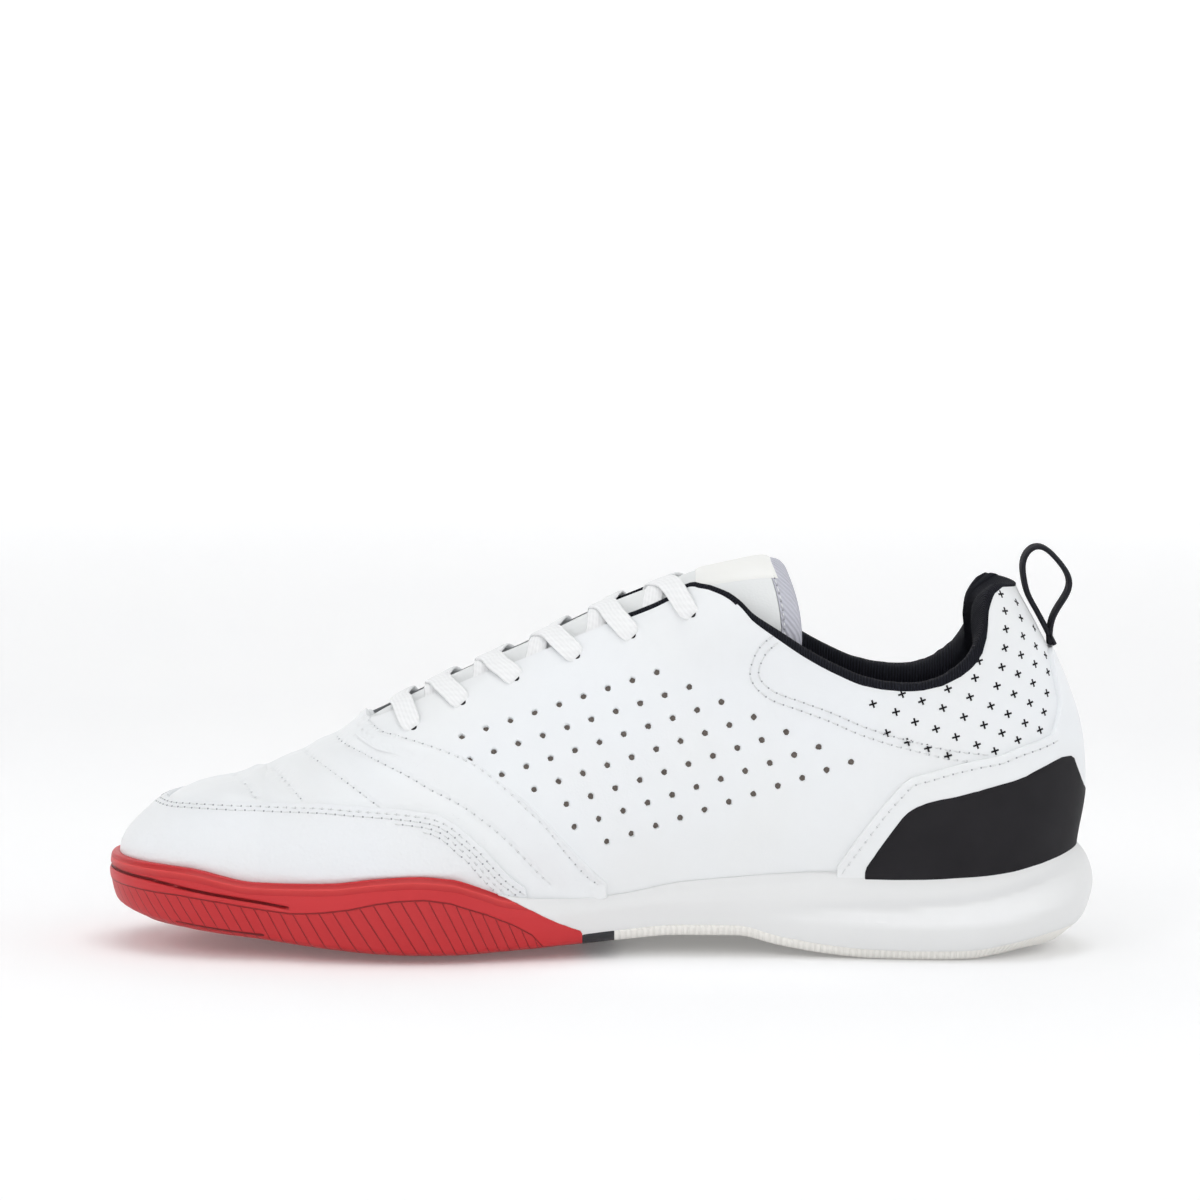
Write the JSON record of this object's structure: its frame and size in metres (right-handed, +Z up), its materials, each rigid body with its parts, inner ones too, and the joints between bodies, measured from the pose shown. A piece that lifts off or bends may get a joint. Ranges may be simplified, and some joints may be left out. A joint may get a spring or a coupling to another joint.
{
  "type": "indoor football shoe",
  "caption": "Low-cut laced leather indoor football shoe for the right foot, with a flat rubber sole whose red forefoot cup rises at the toe, a padded dark collar and a heel pull loop.",
  "frame": {"origin": "middle of the bounding box on the floor that the sole stands on", "axes": "+X from the toe to the heel, -Y the medial side that the picture shows, +Z up"},
  "size_m": [0.292, 0.1058, 0.1207],
  "materials": {
    "red_rubber": "moulded rubber, satin",
    "white_foam": "moulded foam, matt",
    "black_rubber": "matt",
    "cream_rubber": "translucent rubber, matt",
    "insole_textile": "thin textile over foam",
    "white_leather": "smooth, soft sheen",
    "grained_leather": "fine grain",
    "counter_leather": "smooth, soft sheen",
    "black_patch": "matt film",
    "collar_knit": "ribbed knit",
    "tongue_leather": "padded, soft sheen",
    "tongue_band": "woven band",
    "lace": "flat woven lace",
    "loop_webbing": "woven webbing, matt"
  },
  "bodies": {
    "root": {"forefoot_outsole": "red_rubber", "midsole": "white_foam", "arch_bridge": "black_rubber", "heel_outsole": "cream_rubber", "insole": "insole_textile", "upper": "white_leather", "toe_guard": "grained_leather", "heel_counter": "counter_leather", "heel_patch": "black_patch", "collar_lining": "collar_knit", "tongue": "tongue_leather", "tongue_band": "tongue_band", "lace_bar": "lace", "lace_crossing_1": "lace", "lace_crossing_2": "lace", "lace_crossing_3": "lace", "lace_crossing_4": "lace", "lace_crossing_5": "lace", "pull_loop": "loop_webbing"}
  },
  "joints": []
}
